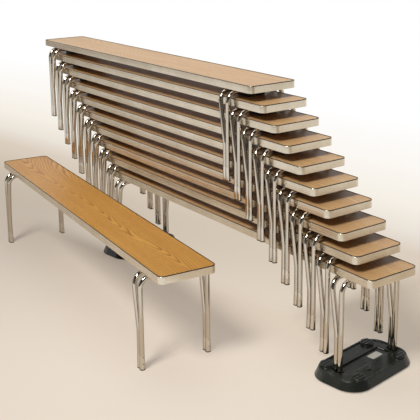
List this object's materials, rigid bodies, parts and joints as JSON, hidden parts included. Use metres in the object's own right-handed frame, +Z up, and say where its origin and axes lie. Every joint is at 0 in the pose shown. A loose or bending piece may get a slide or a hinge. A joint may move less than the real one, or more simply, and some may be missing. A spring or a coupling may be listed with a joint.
{
  "type": "stacking bench set",
  "caption": "Set of identical long benches with wood laminate seats, metal edges and chromed hoop legs, nested in a stack on two low wheeled dollies, with one bench standing beside it.",
  "frame": {"origin": "on the floor, at the middle of the whole set's footprint", "axes": "+X along the stacked benches towards the end where each lower bench sticks out, +Y from the single bench towards the stack, +Z up"},
  "size_m": [2.7032, 0.9306, 1.0714],
  "materials": {
    "oak_laminate": "semi-gloss laminate",
    "anodised_aluminium": "satin anodised",
    "chromed_tube": "polished",
    "grey_sleeve": "moulded",
    "black_rubber": "matt",
    "zinc_steel": "zinc plated",
    "black_moulding": "moulded satin",
    "blank_label": "matt",
    "castor_tyre": "matt"
  },
  "bodies": {
    "dollies": {"left_dolly_tray": "black_moulding", "right_dolly_tray": "black_moulding", "dolly_label_plates": "blank_label", "castor_plates": "zinc_steel"},
    "castor_fork_1": {"castor_fork_1": "zinc_steel"},
    "castor_wheel_1": {"castor_wheel_1": "castor_tyre"},
    "castor_fork_2": {"castor_fork_2": "zinc_steel"},
    "castor_wheel_2": {"castor_wheel_2": "castor_tyre"},
    "castor_fork_3": {"castor_fork_3": "zinc_steel"},
    "castor_wheel_3": {"castor_wheel_3": "castor_tyre"},
    "castor_fork_4": {"castor_fork_4": "zinc_steel"},
    "castor_wheel_4": {"castor_wheel_4": "castor_tyre"},
    "castor_fork_5": {"castor_fork_5": "zinc_steel"},
    "castor_wheel_5": {"castor_wheel_5": "castor_tyre"},
    "castor_fork_6": {"castor_fork_6": "zinc_steel"},
    "castor_wheel_6": {"castor_wheel_6": "castor_tyre"},
    "castor_fork_7": {"castor_fork_7": "zinc_steel"},
    "castor_wheel_7": {"castor_wheel_7": "castor_tyre"},
    "castor_fork_8": {"castor_fork_8": "zinc_steel"},
    "castor_wheel_8": {"castor_wheel_8": "castor_tyre"},
    "bench_01": {"seat_board_01": "oak_laminate", "edge_frame_01": "anodised_aluminium", "leg_frame_01": "chromed_tube"},
    "bench_02": {"seat_board_02": "oak_laminate", "edge_frame_02": "anodised_aluminium", "leg_frame_02": "chromed_tube"},
    "bench_03": {"seat_board_03": "oak_laminate", "edge_frame_03": "anodised_aluminium", "leg_frame_03": "chromed_tube"},
    "bench_04": {"seat_board_04": "oak_laminate", "edge_frame_04": "anodised_aluminium", "leg_frame_04": "chromed_tube"},
    "bench_05": {"seat_board_05": "oak_laminate", "edge_frame_05": "anodised_aluminium", "leg_frame_05": "chromed_tube"},
    "bench_06": {"seat_board_06": "oak_laminate", "edge_frame_06": "anodised_aluminium", "leg_frame_06": "chromed_tube"},
    "bench_07": {"seat_board_07": "oak_laminate", "edge_frame_07": "anodised_aluminium", "leg_frame_07": "chromed_tube"},
    "bench_08": {"seat_board_08": "oak_laminate", "edge_frame_08": "anodised_aluminium", "leg_frame_08": "chromed_tube"},
    "bench_09": {"seat_board_09": "oak_laminate", "edge_frame_09": "anodised_aluminium", "leg_frame_09": "chromed_tube"},
    "bench_10": {"seat_board_10": "oak_laminate", "edge_frame_10": "anodised_aluminium", "leg_frame_10": "chromed_tube"},
    "single_bench": {"single_seat_board": "oak_laminate", "single_edge_frame": "anodised_aluminium", "single_left_legs": "chromed_tube", "single_right_legs": "chromed_tube", "single_foot_sleeves": "grey_sleeve", "single_foot_glides": "black_rubber", "single_stacking_pads": "black_rubber", "single_frame_screws": "zinc_steel"}
  },
  "joints": [
    {"name": "castor_1_swivel", "type": "hinge", "parent": "dollies", "child": "castor_fork_1", "pos_m": [-0.55305, 0.11585, 0.038], "axis": [0, 0, 1], "continuous": true},
    {"name": "castor_1_roll", "type": "hinge", "parent": "castor_fork_1", "child": "castor_wheel_1", "pos_m": [-0.56205, 0.11585, 0.015], "axis": [0, 1, 0], "continuous": true},
    {"name": "castor_2_swivel", "type": "hinge", "parent": "dollies", "child": "castor_fork_2", "pos_m": [-0.39856, 0.13756, 0.038], "axis": [0, 0, 1], "continuous": true},
    {"name": "castor_2_roll", "type": "hinge", "parent": "castor_fork_2", "child": "castor_wheel_2", "pos_m": [-0.40756, 0.13756, 0.015], "axis": [0, 1, 0], "continuous": true},
    {"name": "castor_3_swivel", "type": "hinge", "parent": "dollies", "child": "castor_fork_3", "pos_m": [-0.58923, 0.37332, 0.038], "axis": [0, 0, 1], "continuous": true},
    {"name": "castor_3_roll", "type": "hinge", "parent": "castor_fork_3", "child": "castor_wheel_3", "pos_m": [-0.59823, 0.37332, 0.015], "axis": [0, 1, 0], "continuous": true},
    {"name": "castor_4_swivel", "type": "hinge", "parent": "dollies", "child": "castor_fork_4", "pos_m": [-0.43475, 0.39503, 0.038], "axis": [0, 0, 1], "continuous": true},
    {"name": "castor_4_roll", "type": "hinge", "parent": "castor_fork_4", "child": "castor_wheel_4", "pos_m": [-0.44375, 0.39503, 0.015], "axis": [0, 1, 0], "continuous": true},
    {"name": "castor_5_swivel", "type": "hinge", "parent": "dollies", "child": "castor_fork_5", "pos_m": [1.15236, 0.11585, 0.038], "axis": [0, 0, 1], "continuous": true},
    {"name": "castor_5_roll", "type": "hinge", "parent": "castor_fork_5", "child": "castor_wheel_5", "pos_m": [1.14335, 0.11585, 0.015], "axis": [0, 1, 0], "continuous": true},
    {"name": "castor_6_swivel", "type": "hinge", "parent": "dollies", "child": "castor_fork_6", "pos_m": [1.30684, 0.13756, 0.038], "axis": [0, 0, 1], "continuous": true},
    {"name": "castor_6_roll", "type": "hinge", "parent": "castor_fork_6", "child": "castor_wheel_6", "pos_m": [1.29784, 0.13756, 0.015], "axis": [0, 1, 0], "continuous": true},
    {"name": "castor_7_swivel", "type": "hinge", "parent": "dollies", "child": "castor_fork_7", "pos_m": [1.11617, 0.37332, 0.038], "axis": [0, 0, 1], "continuous": true},
    {"name": "castor_7_roll", "type": "hinge", "parent": "castor_fork_7", "child": "castor_wheel_7", "pos_m": [1.10717, 0.37332, 0.015], "axis": [0, 1, 0], "continuous": true},
    {"name": "castor_8_swivel", "type": "hinge", "parent": "dollies", "child": "castor_fork_8", "pos_m": [1.27065, 0.39503, 0.038], "axis": [0, 0, 1], "continuous": true},
    {"name": "castor_8_roll", "type": "hinge", "parent": "castor_fork_8", "child": "castor_wheel_8", "pos_m": [1.26165, 0.39503, 0.015], "axis": [0, 1, 0], "continuous": true},
    {"name": "lift_bench_01", "type": "slide", "parent": "dollies", "child": "bench_01", "axis": [0, 0, 1], "range_m": [0, 0.1]},
    {"name": "lift_bench_02", "type": "slide", "parent": "bench_01", "child": "bench_02", "axis": [0, 0, 1], "range_m": [0, 0.38]},
    {"name": "lift_bench_03", "type": "slide", "parent": "bench_02", "child": "bench_03", "axis": [0, 0, 1], "range_m": [0, 0.38]},
    {"name": "lift_bench_04", "type": "slide", "parent": "bench_03", "child": "bench_04", "axis": [0, 0, 1], "range_m": [0, 0.38]},
    {"name": "lift_bench_05", "type": "slide", "parent": "bench_04", "child": "bench_05", "axis": [0, 0, 1], "range_m": [0, 0.38]},
    {"name": "lift_bench_06", "type": "slide", "parent": "bench_05", "child": "bench_06", "axis": [0, 0, 1], "range_m": [0, 0.38]},
    {"name": "lift_bench_07", "type": "slide", "parent": "bench_06", "child": "bench_07", "axis": [0, 0, 1], "range_m": [0, 0.38]},
    {"name": "lift_bench_08", "type": "slide", "parent": "bench_07", "child": "bench_08", "axis": [0, 0, 1], "range_m": [0, 0.38]},
    {"name": "lift_bench_09", "type": "slide", "parent": "bench_08", "child": "bench_09", "axis": [0, 0, 1], "range_m": [0, 0.38]},
    {"name": "lift_bench_10", "type": "slide", "parent": "bench_09", "child": "bench_10", "axis": [0, 0, 1], "range_m": [0, 0.38]},
    {"name": "lift_single_bench", "type": "slide", "parent": "dollies", "child": "single_bench", "axis": [0, 0, 1], "range_m": [0, 0.3]}
  ]
}
